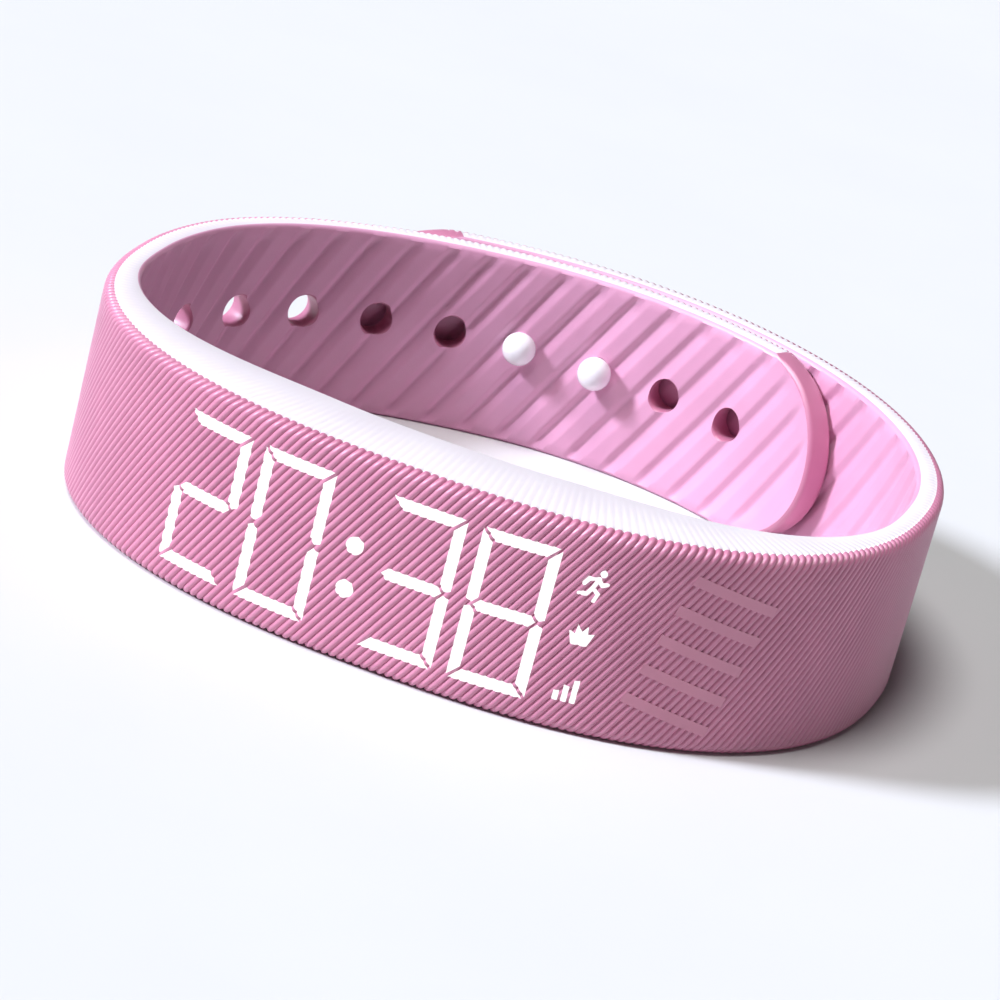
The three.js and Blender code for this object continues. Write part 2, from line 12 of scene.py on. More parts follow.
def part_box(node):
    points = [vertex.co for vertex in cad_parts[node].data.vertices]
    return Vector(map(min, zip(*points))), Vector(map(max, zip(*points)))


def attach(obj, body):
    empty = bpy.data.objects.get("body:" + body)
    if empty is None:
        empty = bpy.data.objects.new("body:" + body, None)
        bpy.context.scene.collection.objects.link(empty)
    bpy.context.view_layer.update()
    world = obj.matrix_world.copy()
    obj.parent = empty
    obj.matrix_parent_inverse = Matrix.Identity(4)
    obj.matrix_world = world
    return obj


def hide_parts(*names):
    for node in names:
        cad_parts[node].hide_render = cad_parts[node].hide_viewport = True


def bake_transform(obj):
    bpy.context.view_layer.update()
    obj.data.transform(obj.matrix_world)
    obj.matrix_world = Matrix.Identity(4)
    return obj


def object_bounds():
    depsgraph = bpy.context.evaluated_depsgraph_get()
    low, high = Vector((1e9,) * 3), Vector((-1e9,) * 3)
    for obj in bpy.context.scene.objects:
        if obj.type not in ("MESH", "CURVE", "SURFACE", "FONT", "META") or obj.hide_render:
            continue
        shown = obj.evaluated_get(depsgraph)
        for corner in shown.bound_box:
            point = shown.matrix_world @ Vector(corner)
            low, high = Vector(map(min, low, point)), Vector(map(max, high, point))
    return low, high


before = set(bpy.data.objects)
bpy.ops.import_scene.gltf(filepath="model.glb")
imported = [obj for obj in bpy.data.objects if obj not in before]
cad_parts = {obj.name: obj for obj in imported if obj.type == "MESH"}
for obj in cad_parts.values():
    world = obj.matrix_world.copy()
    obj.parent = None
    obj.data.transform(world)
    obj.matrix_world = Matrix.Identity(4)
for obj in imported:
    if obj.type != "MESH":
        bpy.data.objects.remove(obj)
cad_low, cad_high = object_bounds()

# Everything below is worked out in millimetres and turned into metres where a mesh is made.
MM = 0.001
PER_METRE = 1000.0

# Outline of the loop's outer face: a superellipse with a squarer front half.
HALF_WIDTH = cad_high.x * PER_METRE
LOOP_DEPTH = (cad_high.y - cad_low.y) * PER_METRE
FRONT_SHARE = 28 / 60
FRONT_EXPONENT = 2.4
BACK_EXPONENT = 2.0
FRONT_DEPTH = LOOP_DEPTH * FRONT_SHARE
BACK_DEPTH = LOOP_DEPTH - FRONT_DEPTH
CENTRE_Y = (FRONT_DEPTH - BACK_DEPTH) / 2
BAND_HEIGHT = cad_high.z * PER_METRE
HALF_HEIGHT = BAND_HEIGHT / 2

# Band section, as in the CAD model.
STRAP_THICKNESS = 2.3
FRONT_THICKNESS = 8.1
FRONT_FLAT = 10
FRONT_TAPER = 35
LAYER_STEP = STRAP_THICKNESS + 0.12
TAIL_STEP_FROM = 111.1
TAIL_STEP_TO = 143.5
STEP_SIDE_FROM = 60
TUCKED_FROM = 128
TUCKED_RUN = 12
STRAP_EDGE_RADIUS = 0.7
TUCKED_EDGE_RADIUS = 0.35
FRONT_EDGE_RADIUS = 0.9
INNER_EDGE = 0.3
SHARP_ANGLE = 38

# Places along the band, as lengths on the outer face from the middle of the front. The tail strap
# runs the other way round the loop, so its lengths are negative.
BUCKLE_TIP = 126.8
BUCKLE_TIP_LENGTH = 11.0
TAIL_TIP_LENGTH = 9.5
BUCKLE_FLEX = 66.0
BUCKLE_END_FLEX = 84.0

# Ribs outside and slanting lands inside.
RIB_PITCH = 0.635
COLUMNS_PER_RIB = 5
COLUMN_STEP = RIB_PITCH / COLUMNS_PER_RIB
RIB_DEPTH = 0.17
SHEAR_COLUMNS = 78
SHEAR = SHEAR_COLUMNS * COLUMN_STEP / BAND_HEIGHT
GROOVE_DEPTH = 0.3
GROOVE_SLANT = 0.66
GROOVE_PHASES = [0, 0.34, 0.4, 0.7, 0.76, 0.94, 1]
GROOVE_PROFILE = [0, 0, 0.06, 0.95, 1, 0.06, 0]
TAIL_GROOVES = (113.0, 3.7)
BUCKLE_GROOVES = (69.2, 3.6)
FILLET_STEPS = 6
FACE_ROWS = 16
RIM_RUN_OUT = 0.3
OUTLINE_STEPS = 14401

# Where the grooves fade out.
GROOVES_FROM = 31
GROOVES_FULL_AFTER = 5
GROOVE_EDGE_FADE = 0.5
TIP_BORDER_FADE = 1.1
TIP_BORDER_SHARE = 0.6

# A strap is cut square past its tip, then rounded by a long solid.
TIP_TRIM = 1.5
KEEPER_REACH = 270


# ---- outline of the loop

def superellipse():
    """Lengths, points and outward directions of the outline, from the front towards +X."""
    angle = np.linspace(0, 2 * np.pi, OUTLINE_STEPS)
    across, along = np.sin(angle), -np.cos(angle)
    front = along < 0
    exponent = np.where(front, FRONT_EXPONENT, BACK_EXPONENT)
    depth = np.where(front, FRONT_DEPTH, BACK_DEPTH)
    x = HALF_WIDTH * np.sign(across) * np.abs(across) ** (2 / exponent)
    y = depth * np.sign(along) * np.abs(along) ** (2 / exponent)
    out_x = np.sign(x) * np.abs(x / HALF_WIDTH) ** (exponent - 1) / HALF_WIDTH
    out_y = np.sign(y) * np.abs(y / depth) ** (exponent - 1) / depth
    size = np.hypot(out_x, out_y)
    steps = np.hypot(np.diff(x), np.diff(y))
    return np.concatenate([[0], np.cumsum(steps)]), x, y + CENTRE_Y, out_x / size, out_y / size


LENGTHS, OUTLINE_X, OUTLINE_Y, OUT_X, OUT_Y = superellipse()
PERIMETER = LENGTHS[-1]
TAIL_TIP = 75.7 - PERIMETER
TAIL_FLEX = 151.5 - PERIMETER


def band_xy(length, depth):
    """Plan position at a length along the band and a depth below its outer face."""
    s = np.mod(length, PERIMETER)
    x = np.interp(s, LENGTHS, OUTLINE_X) - depth * np.interp(s, LENGTHS, OUT_X)
    y = np.interp(s, LENGTHS, OUTLINE_Y) - depth * np.interp(s, LENGTHS, OUT_Y)
    return x, y


def from_front(length):
    """The same place as a length between minus and plus half the perimeter."""
    return length - PERIMETER if length > PERIMETER / 2 else length


def outward(length):
    s = np.mod(length, PERIMETER)
    return Vector((np.interp(s, LENGTHS, OUT_X), np.interp(s, LENGTHS, OUT_Y), 0))


def length_and_depth(x, y):
    """The length along the band and the depth of a plan position inside the loop."""
    distance = np.hypot(OUTLINE_X - x, OUTLINE_Y - y)
    nearest = int(np.argmin(distance))
    return LENGTHS[nearest], distance[nearest]


def smooth(u):
    u = np.clip(u, 0, 1)
    return u * u * (3 - 2 * u)


def thickness(length):
    taper = smooth((np.abs(length) - FRONT_FLAT) / FRONT_TAPER)
    return FRONT_THICKNESS + (STRAP_THICKNESS - FRONT_THICKNESS) * taper


def layer_offset(length):
    """The tail strap steps inwards to pass under the buckle strap."""
    length = np.asarray(length, float)
    round_back = np.where(length < 0, length + PERIMETER, length)
    stepped_in = 1 - smooth((round_back - TAIL_STEP_FROM) / (TAIL_STEP_TO - TAIL_STEP_FROM))
    return LAYER_STEP * np.where(length < 0, stepped_in, stepped_in - 1) * (round_back > STEP_SIDE_FROM)


def edge_radius(length):
    """Outer edge radius: smaller where the tail strap is tucked under the buckle strap."""
    share = (thickness(length) - STRAP_THICKNESS) / (FRONT_THICKNESS - STRAP_THICKNESS)
    tucked = smooth((-length - (PERIMETER - TUCKED_FROM)) / TUCKED_RUN)
    strap = STRAP_EDGE_RADIUS + (TUCKED_EDGE_RADIUS - STRAP_EDGE_RADIUS) * tucked
    return strap + (FRONT_EDGE_RADIUS - strap) * share


# ---- mesh helpers

def new_object(name, data):
    made = bpy.data.objects.new(name, data)
    bpy.context.scene.collection.objects.link(made)
    return made


def mesh_object(name, points, faces, scale=1.0):
    mesh = bpy.data.meshes.new(name)
    mesh.from_pydata([tuple(p) for p in np.asarray(points, float) * scale], [], faces)
    mesh.update()
    return new_object(name, mesh)


def discard(made):
    mesh = made.data
    bpy.data.objects.remove(made)
    bpy.data.meshes.remove(mesh)


@contextmanager
def editing(mesh):
    shape = bmesh.new()
    shape.from_mesh(mesh)
    yield shape
    shape.to_mesh(mesh)
    shape.free()


def cut_across(shape, length, toward=1, **options):
    """Cuts a mesh laid out flat along a plane square to the band."""
    geometry = shape.verts[:] + shape.edges[:] + shape.faces[:]
    return bmesh.ops.bisect_plane(shape, geom=geometry, plane_co=(length, 0, 0),
                                  plane_no=(toward, 0, 0), **options)


def vectors(items, attribute):
    made = np.zeros(len(items) * 3, np.float32)
    items.foreach_get(attribute, made)
    return made.reshape(-1, 3)


def face_outwards(mesh):
    with editing(mesh) as shape:
        if shape.calc_volume(signed=True) < 0:
            bmesh.ops.reverse_faces(shape, faces=shape.faces)


def shade_smooth(mesh, sharp_angle):
    mesh.polygons.foreach_set("use_smooth", [True] * len(mesh.polygons))
    mesh.set_sharp_from_angle(angle=radians(sharp_angle))


def give_material(made, material):
    made.data.materials.clear()
    made.data.materials.append(material)


def apply_modifiers(made):
    depsgraph = bpy.context.evaluated_depsgraph_get()
    mesh = bpy.data.meshes.new_from_object(made.evaluated_get(depsgraph))
    made.modifiers.clear()
    old, made.data = made.data, mesh
    bpy.data.meshes.remove(old)


def combine(target, cutters, operation):
    for cutter in cutters:
        modifier = target.modifiers.new("combine", "BOOLEAN")
        modifier.operation = operation
        modifier.solver = "MANIFOLD"
        modifier.object = cutter
        apply_modifiers(target)
        discard(cutter)


def stack(name, levels, outline_at, material=0):
    """A solid made of one outline per level, all with the same number of points."""
    outlines = [outline_at(level) for level in levels]
    count = len(outlines[0])
    points = [(a, b, level) for level, outline in zip(levels, outlines) for a, b in outline]
    top = (len(levels) - 1) * count
    faces = [tuple(range(count)), tuple(range(top + count - 1, top - 1, -1))]
    for k in range(len(levels) - 1):
        for i in range(count):
            j = (i + 1) % count
            faces.append((k * count + i, (k + 1) * count + i, (k + 1) * count + j, k * count + j))
    made = mesh_object(name, points, faces)
    made.data.polygons.foreach_set("material_index", [material] * len(faces))
    face_outwards(made.data)
    return made


def prism(name, outline, low, high, material=0):
    """A solid with a flat outline of (a, b) points between two levels."""
    return stack(name, [low, high], lambda level: outline, material)


def bend_round_loop(mesh):
    """Turns a mesh laid out flat, as (length, height, depth), into its place round the loop."""
    flat = vectors(mesh.vertices, "co").astype(float)
    x, y = band_xy(flat[:, 0], flat[:, 2] + layer_offset(flat[:, 0]))
    placed = np.column_stack([x, y, flat[:, 1]]) * MM
    mesh.vertices.foreach_set("co", placed.astype(np.float32).ravel())
    mesh.update()
    face_outwards(mesh)
    return flat


# ---- materials

def new_material(name):
    """A material with its node tree and shader, and the place on the object in metres."""
    made = bpy.data.materials.new(name)
    made.use_nodes = True
    tree = made.node_tree
    place = tree.nodes.new("ShaderNodeTexCoord").outputs["Object"]
    return made, tree, tree.nodes["Principled BSDF"], place


def set_inputs(node, values):
    for name, value in values.items():
        node.inputs[name].default_value = value


def noise(tree, place, scale, detail=4.0, roughness=0.55):
    made = tree.nodes.new("ShaderNodeTexNoise")
    set_inputs(made, {"Scale": scale, "Detail": detail, "Roughness": roughness})
    tree.links.new(place, made.inputs["Vector"])
    return made.outputs["Fac"]


def ramp(tree, value, stops):
    made = tree.nodes.new("ShaderNodeValToRGB")
    elements = made.color_ramp.elements
    while len(elements) < len(stops):
        elements.new(0.5)
    for element, (position, colour) in zip(elements, stops):
        element.position = position
        element.color = (*colour, 1)
    tree.links.new(value, made.inputs["Fac"])
    return made.outputs["Color"]


def tinted(tree, shader, value, shade, light, reach=0.2):
    """A base colour that runs between two shades round the middle of a noise."""
    colour = ramp(tree, value, [(0.5 - reach, shade), (0.5 + reach, light)])
    tree.links.new(colour, shader.inputs["Base Color"])


def bumped(tree, shader, height, strength, distance=0.00003):
    made = tree.nodes.new("ShaderNodeBump")
    set_inputs(made, {"Strength": strength, "Distance": distance})
    tree.links.new(height, made.inputs["Height"])
    tree.links.new(made.outputs["Normal"], shader.inputs["Normal"])


def silicone(name, shade, light, roughness):
    """Moulded silicone: soft mottling, a fine matt grain and a little light under the skin."""
    made, tree, shader, place = new_material(name)
    tinted(tree, shader, noise(tree, place, 130.0, 3.0), shade, light)
    grain = noise(tree, place, 9000.0, 2.0, 0.7)
    polish = ramp(tree, noise(tree, place, 260.0, 5.0),
                  [(0.25, (roughness - 0.05,) * 3), (0.75, (roughness + 0.06,) * 3)])
    tree.links.new(polish, shader.inputs["Roughness"])
    bumped(tree, shader, grain, 0.4)
    set_inputs(shader, {"Subsurface Weight": 0.03, "Subsurface Radius": (1.0, 0.45, 0.6),
                        "Subsurface Scale": 0.0009, "Specular IOR Level": 0.8,
                        "Sheen Weight": 0.1, "Sheen Roughness": 0.35,
                        "Coat Weight": 0.5, "Coat Roughness": 0.5})
    return made


def plastic(name, shade, light, roughness, grain_scale=2500.0, grain=0.15, coat=0.0):
    made, tree, shader, place = new_material(name)
    tinted(tree, shader, noise(tree, place, 220.0), shade, light)
    bumped(tree, shader, noise(tree, place, grain_scale, 3.0), grain)
    set_inputs(shader, {"Roughness": roughness, "Coat Weight": coat, "Coat Roughness": 0.08})
    return made


def metal(name, shade, light, roughness, stretch=(1, 1, 1)):
    made, tree, shader, place = new_material(name)
    mapping = tree.nodes.new("ShaderNodeMapping")
    set_inputs(mapping, {"Scale": stretch})
    tree.links.new(place, mapping.inputs["Vector"])
    brushed = noise(tree, mapping.outputs["Vector"], 1800.0, 6.0, 0.7)
    tinted(tree, shader, brushed, shade, light, 0.25)
    bumped(tree, shader, brushed, 0.2, 0.00002)
    set_inputs(shader, {"Metallic": 1.0, "Roughness": roughness})
    return made


def lit_window(name, strength):
    """Silicone lit from behind, with a faint mottle in the light."""
    made, tree, shader, place = new_material(name)
    glow = ramp(tree, noise(tree, place, 700.0, 2.0), [(0.2, (1.0, 0.96, 0.98)), (0.8, (1, 1, 1))])
    tree.links.new(glow, shader.inputs["Emission Color"])
    set_inputs(shader, {"Base Color": (0.2, 0.2, 0.2, 1), "Emission Strength": strength,
                        "Roughness": 0.6})
    return made


def circuit_board(name):
    """Solder resist over copper tracks."""
    made, tree, shader, place = new_material(name)
    tracks = tree.nodes.new("ShaderNodeTexBrick")
    set_inputs(tracks, {"Scale": 900.0, "Mortar Size": 0.06, "Color1": (0.01, 0.09, 0.04, 1),
                        "Color2": (0.012, 0.11, 0.05, 1), "Mortar": (0.03, 0.2, 0.09, 1)})
    tree.links.new(place, tracks.inputs["Vector"])
    tree.links.new(tracks.outputs["Color"], shader.inputs["Base Color"])
    bumped(tree, shader, tracks.outputs["Fac"], 0.4)
    set_inputs(shader, {"Roughness": 0.35})
    return made


OUTER_SILICONE = silicone("silicone_outer", (0.54, 0.18, 0.30), (0.61, 0.21, 0.34), 0.42)
# Painted highlight: the band's flat rim faces get a pale, near-white silicone colour that stands in for
# the top light blowing out the band's top edge.
RIM_PAINTED_HIGHLIGHT = silicone("silicone_rim", (0.84, 0.76, 0.81), (0.88, 0.81, 0.85), 0.5)
# Painted light: the inner face is the same silicone as the outer face, painted a lighter pink for the
# light that falls on the loop's inside.
INNER_LIT_SILICONE = silicone("silicone_inner_painted_light", (0.70, 0.32, 0.49), (0.77, 0.36, 0.55), 0.5)
BAR_SILICONE = silicone("silicone_touch_bar", (0.56, 0.19, 0.30), (0.62, 0.22, 0.33), 0.5)
STUD_PLASTIC = plastic("stud_plastic", (0.90, 0.88, 0.90), (0.94, 0.92, 0.94), 0.18, 1200.0, 0.05,
                       0.6)
CAPSULE_PLASTIC = plastic("capsule_plastic", (0.018, 0.018, 0.020), (0.026, 0.025, 0.028), 0.48,
                          6000.0, 0.5)
SEAL_RUBBER = plastic("seal_rubber", (0.012, 0.012, 0.013), (0.02, 0.02, 0.021), 0.8, 4000.0, 0.6)
LIGHT_GUIDE = plastic("light_guide_plastic", (0.80, 0.83, 0.86), (0.88, 0.90, 0.93), 0.3, 3000.0, 0.1)
CIRCUIT_BOARD = circuit_board("circuit_board")
FLEX_FILM = plastic("flex_film", (0.40, 0.13, 0.015), (0.50, 0.18, 0.03), 0.25, 2000.0, 0.1, 0.5)
CHIP_RESIN = plastic("chip_resin", (0.012, 0.012, 0.013), (0.02, 0.02, 0.022), 0.5, 7000.0, 0.4)
CERAMIC = plastic("ceramic", (0.68, 0.69, 0.64), (0.76, 0.77, 0.73), 0.6, 5000.0, 0.4)
CELL_FOIL = metal("cell_foil", (0.55, 0.56, 0.58), (0.68, 0.69, 0.71), 0.32, (1, 1, 6))
MOTOR_STEEL = metal("motor_steel", (0.45, 0.46, 0.48), (0.60, 0.61, 0.63), 0.28, (6, 1, 1))
GOLD_PLATING = metal("gold_plating", (0.72, 0.48, 0.16), (0.86, 0.62, 0.26), 0.22)
DISPLAY_LIGHT = lit_window("display_light", 0.97)
BAND_MATERIALS = [OUTER_SILICONE, RIM_PAINTED_HIGHLIGHT, INNER_LIT_SILICONE]
OUTER, RIM, INNER = range(3)


# ---- the silicone band, laid out flat

def rib_height(column):
    phase = np.mod(column, COLUMNS_PER_RIB) / COLUMNS_PER_RIB
    return -RIB_DEPTH * (1 - np.abs(np.sin(np.pi * phase)) ** 0.7)


def groove_depth(length, height):
    """Slanting lands with shallow grooves between them, on the wrist side of both straps."""
    round_loop = np.where(length < 0, length + PERIMETER, length) + GROOVE_SLANT * height
    start = np.where(length < 0, TAIL_GROOVES[0], BUCKLE_GROOVES[0])
    pitch = np.where(length < 0, TAIL_GROOVES[1], BUCKLE_GROOVES[1])
    phase = np.mod(round_loop - start, pitch) / pitch
    return GROOVE_DEPTH * np.interp(phase, GROOVE_PHASES, GROOVE_PROFILE)


def groove_fade(length, height):
    """Grooves stop short of the front's smooth inside, of the band's edges and of the straps' tips."""
    front = smooth((np.abs(length) - GROOVES_FROM) / GROOVES_FULL_AFTER)
    edges = smooth((HALF_HEIGHT - INNER_EDGE - np.abs(height)) / GROOVE_EDGE_FADE)
    tips = 1.0
    for tip, tip_length, toward in ((TAIL_TIP, TAIL_TIP_LENGTH, 1),
                                    (BUCKLE_TIP, BUCKLE_TIP_LENGTH, -1)):
        beyond = np.clip((tip_length - toward * (length - tip)) / tip_length, 0, None)
        from_middle = np.hypot(beyond, height / HALF_HEIGHT)
        border = smooth((1 - from_middle) * HALF_HEIGHT / TIP_BORDER_FADE - TIP_BORDER_SHARE)
        tips = tips * (1 - (1 - border) * smooth(beyond * 4))
    return front * edges * tips


def outer_rows():
    """(side, turn of the surface, way in over the rim) for each row of the outer skin."""
    rows = [(1, 90, RIM_RUN_OUT)]
    rows += [(1, turn, 0) for turn in np.linspace(90, 0, FILLET_STEPS + 1)]
    rows += [(1 - 2 * i / FACE_ROWS, None, 0) for i in range(1, FACE_ROWS)]
    rows += [(-1, turn, 0) for turn in np.linspace(0, 90, FILLET_STEPS + 1)]
    rows += [(-1, 90, RIM_RUN_OUT)]
    return rows


def outer_skin(columns):
    """Rows of (length, height, depth) points that run down the outer face."""
    ribs = rib_height(columns)
    made = []
    for share, turn, run_out in outer_rows():
        rough = columns * COLUMN_STEP + share * HALF_HEIGHT * SHEAR
        radius = edge_radius(rough)
        flat_half = HALF_HEIGHT - radius
        if turn is None:
            height, depth = share * flat_half, 0 * rough
            up, back, fade = 0.0, -1.0, 1.0
        else:
            sine, cosine = sin(radians(turn)), cos(radians(turn))
            height, depth = share * (flat_half + radius * sine), radius * (1 - cosine) + run_out
            up, back, fade = share * sine, -cosine, 0.0 if run_out else 1.0
        length = columns * COLUMN_STEP + height * SHEAR
        depth = depth + back * ribs * fade
        height = height + up * ribs * fade
        made.append(np.column_stack([length, height + HALF_HEIGHT, depth]))
    return made


def inner_skin(columns):
    """Rows of points that run down the inner face, with grooves that slant the other way."""
    bevel = [(0.0, 1.0), (0.3, 0.4), (1.0, 0.0)]
    rows = [(1 - INNER_EDGE * down / HALF_HEIGHT, back) for down, back in bevel]
    flat = 1 - INNER_EDGE / HALF_HEIGHT
    rows += [(flat * share, 0.0) for share in np.linspace(1, -1, FACE_ROWS + 5)[1:-1]]
    rows += [(INNER_EDGE * down / HALF_HEIGHT - 1, back) for down, back in reversed(bevel)]
    made = []
    for share, back in rows:
        height = share * HALF_HEIGHT + 0 * columns
        length = columns * COLUMN_STEP - height * SHEAR
        grooves = groove_depth(length, height) * groove_fade(length, height)
        depth = thickness(length) - grooves - INNER_EDGE * back
        made.append(np.column_stack([length, height + HALF_HEIGHT, depth]))
    return made


def strip(first, second, shift, count):
    """Quads between two rows; shift is how many columns the second row is ahead of the first."""
    low = max(0, -shift)
    high = min(count, count - shift) - 1
    ahead = second + shift
    return [(first + i, first + i + 1, ahead + i + 1, ahead + i) for i in range(low, high)]


def trimmed(shape, length, toward):
    """Cuts an open flat band square across and closes the cut."""
    cut = cut_across(shape, length, toward, clear_inner=True, dist=1e-6)
    edges = [e for e in cut["geom_cut"] if isinstance(e, bmesh.types.BMEdge)]
    bmesh.ops.edgenet_fill(shape, edges=edges)


def flat_band():
    """The whole band as one closed solid, from past one strap's tip to past the other's."""
    margin = BAND_HEIGHT * SHEAR + 3
    columns = np.arange(int((TAIL_TIP - margin) / COLUMN_STEP),
                        int((BUCKLE_TIP + margin) / COLUMN_STEP))
    count = len(columns)
    outer, inner = outer_skin(columns), inner_skin(columns)
    starts = [i * count for i in range(len(outer) + len(inner))]
    outer_starts, inner_starts = starts[:len(outer)], starts[len(outer):]
    faces, materials = [], []

    def add(first, second, shift, material):
        made = strip(first, second, shift, count)
        faces.extend(made)
        materials.extend([material] * len(made))

    # The flat rim faces take the pale material that paints the top light's highlight on the band's
    # edge.
    rim_rows = (0, len(outer) - 2)
    for i, (a, b) in enumerate(zip(outer_starts, outer_starts[1:])):
        add(a, b, 0, RIM if i in rim_rows else OUTER)
    # Inner faces take the lighter pink copy of the silicone, which paints the light falling on the
    # loop's inside.
    for a, b in zip(inner_starts, inner_starts[1:]):
        add(b, a, 0, INNER)
    add(inner_starts[0], outer_starts[0], -SHEAR_COLUMNS, RIM)
    add(outer_starts[-1], inner_starts[-1], -SHEAR_COLUMNS, RIM)
    made = mesh_object("flat_band", np.vstack(outer + inner), faces)
    made.data.polygons.foreach_set("material_index", materials)
    for material in BAND_MATERIALS:
        made.data.materials.append(material)
    with editing(made.data) as shape:
        trimmed(shape, TAIL_TIP - TIP_TRIM, 1)
        trimmed(shape, BUCKLE_TIP + TIP_TRIM, -1)
        loose = [v for v in shape.verts if not v.link_faces]
        bmesh.ops.delete(shape, geom=loose, context="VERTS")
    face_outwards(made.data)
    return made


def tip_keeper(tip, reach, tip_length):
    """What stays of a strap: a half ellipse at its tip with rounded edges, and everything behind it.

    The ellipse is a hair taller than the band, whose own rounded rims take over behind the tip."""
    toward = copysign(1.0, reach)
    half_height = HALF_HEIGHT + 0.04
    outer_radius, inner_radius = STRAP_EDGE_RADIUS, INNER_EDGE + 0.1

    def rounding(depth):
        if depth < outer_radius:
            drop = min(1.0, (outer_radius - depth) / outer_radius)
            return outer_radius * (1 - sqrt(1 - drop * drop)) + max(0.0, -depth)
        past = depth - (STRAP_THICKNESS - inner_radius)
        if past > 0:
            drop = min(1.0, past / inner_radius)
            return inner_radius * (1 - sqrt(1 - drop * drop)) + max(0.0, past - inner_radius)
        return 0.0

    def outline(depth):
        pull = rounding(depth)
        made = []
        for angle in np.linspace(-90, 90, 61):
            share = float(smooth((90 - abs(angle)) / 22)) * pull
            cosine, sine = cos(radians(angle)), sin(radians(angle))
            made.append((tip + toward * (tip_length - (tip_length - share) * cosine),
                         HALF_HEIGHT + (half_height - share) * sine))
        far = tip + reach
        return [(far, HALF_HEIGHT - half_height - 1)] + [
            (made[0][0], HALF_HEIGHT - half_height - 1)] + made + [
            (made[-1][0], HALF_HEIGHT + half_height + 1), (far, HALF_HEIGHT + half_height + 1)]

    levels = [-0.4, -0.15]
    levels += [outer_radius * (1 - cos(radians(a))) for a in range(0, 91, 15)]
    levels += [STRAP_THICKNESS - inner_radius * (1 - sin(radians(a)))
               for a in range(0, 91, 22)]
    levels += [STRAP_THICKNESS + 0.2, STRAP_THICKNESS + 12]
    return stack("tip_keeper", levels, outline, OUTER)


def disc(length, height, radius, steps=20, stretch=1.0):
    return [(length + stretch * radius * cos(a), height + radius * sin(a))
            for a in np.linspace(0, 2 * pi, steps, endpoint=False)]


def round_cutter(length, radius, stretch=1.06, outer=0.0, inner=STRAP_THICKNESS, flare=0.16):
    """A round hole's cutter with a small flare at both faces."""
    def outline(depth):
        near = min(depth - outer, inner - depth)
        grown = radius + flare * max(0.0, 1 - max(near, -flare) / 0.25) ** 2
        return disc(length, HOLES_Z, grown, 40, stretch)

    levels = [outer - 0.5, outer, outer + 0.06, outer + 0.14, outer + 0.25]
    levels += [inner - 0.25, inner - 0.14, inner - 0.06, inner, inner + 0.5]
    return stack("round_cutter", levels, outline, OUTER)


def rounded_rectangle(half_a, half_b, radius, steps=6):
    corners = [(1, 1, 0), (-1, 1, 90), (-1, -1, 180), (1, -1, 270)]
    made = []
    for sign_a, sign_b, start in corners:
        for i in range(steps + 1):
            angle = radians(start + 90 * i / steps)
            made.append((sign_a * (half_a - radius) + radius * cos(angle),
                         sign_b * (half_b - radius) + radius * sin(angle)))
    return made


STUD_TILT = radians(92.1)
CAD_HEAD_RADIUS = 1.4
STUD_HEAD_RADIUS = 1.42


def stud_head(side):
    """Middle of a stud's ball head in plan and how far from it the rivet ends, from its CAD solid."""
    low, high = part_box(f"clasp_stud_{side}")
    centre_x = (low.x + high.x) / 2 * PER_METRE
    centre_y = low.y * PER_METRE + CAD_HEAD_RADIUS
    return centre_x, centre_y, (high.y - low.y) * PER_METRE - CAD_HEAD_RADIUS


def stud_lengths(depth):
    """Lengths along the band at which the two studs pass a depth."""
    made = []
    for side in ("right", "left"):
        x, y, _ = stud_head(side)
        length, from_outside = length_and_depth(x, y)
        rise = from_outside - depth
        x, y = x + cos(STUD_TILT) * rise, y + sin(STUD_TILT) * rise
        made.append(length_and_depth(x, y)[0])
    return made


STUDS_MIDDLE = 105.6
HOLE_COUNT = 9
STUD_HOLES = (2, 3)
HOLE_PITCH = 7.27
HOLE_RADIUS = 1.42
GRIPPING_RADIUS = 1.1
RIVET_SEAT_RADIUS = 1.25
RIVET_HOLE_RADIUS = 0.9
HOLES_Z = 8.4
PLATE_LENGTH = 13.6
PLATE_HEIGHT = 8.4
PLATE_THICKNESS = 0.7
RECESS_MARGIN = 0.22
POCKET_MARGIN = 0.25
POCKET_FLOOR = 1.5
POCKET_THROUGH = 14


def hole_lengths():
    """Lengths of the tail strap's free holes and of the two that close round the studs' necks."""
    middle = sum(STUD_HOLES) / 2
    free = [STUDS_MIDDLE + (i - middle) * HOLE_PITCH for i in range(HOLE_COUNT) if i not in STUD_HOLES]
    gripping = stud_lengths(1.5 * STRAP_THICKNESS)
    return [s - PERIMETER for s in free], [s - PERIMETER for s in gripping]


def plate_outline(margin):
    half_a, half_b = PLATE_LENGTH / 2 + margin, PLATE_HEIGHT / 2 + margin
    return [(STUDS_MIDDLE + a, HOLES_Z + b) for a, b in rounded_rectangle(half_a, half_b, 1.2 + margin)]


def pocket_outline():
    """The capsule's pocket seen from above, in lengths and depths."""
    low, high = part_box("capsule_tray")
    left, right = low.x * PER_METRE - POCKET_MARGIN, high.x * PER_METRE + POCKET_MARGIN
    lengths = np.linspace(-40, 40, 1601)
    front_x = band_xy(lengths, POCKET_FLOOR)[0]
    front_from, front_to = np.interp([left, right], front_x, lengths)

    def side(x, length):
        y_front = float(band_xy(length, POCKET_FLOOR)[1])
        made = []
        for y in np.linspace(y_front, y_front + 9, 8):
            at, depth = length_and_depth(x, y)
            made.append((from_front(at), depth))
        return made

    front = [(s, POCKET_FLOOR) for s in np.linspace(front_from, front_to, 40)[1:-1]]
    left_side, right_side = side(left, front_from), side(right, front_to)
    closing = [(right_side[-1][0], POCKET_THROUGH), (left_side[-1][0], POCKET_THROUGH)]
    return left_side[::-1] + front + right_side + closing


SWAP_HEIGHT_AND_DEPTH = Matrix(((1, 0, 0, 0), (0, 0, 1, 0), (0, 1, 0, 0), (0, 0, 0, 1)))


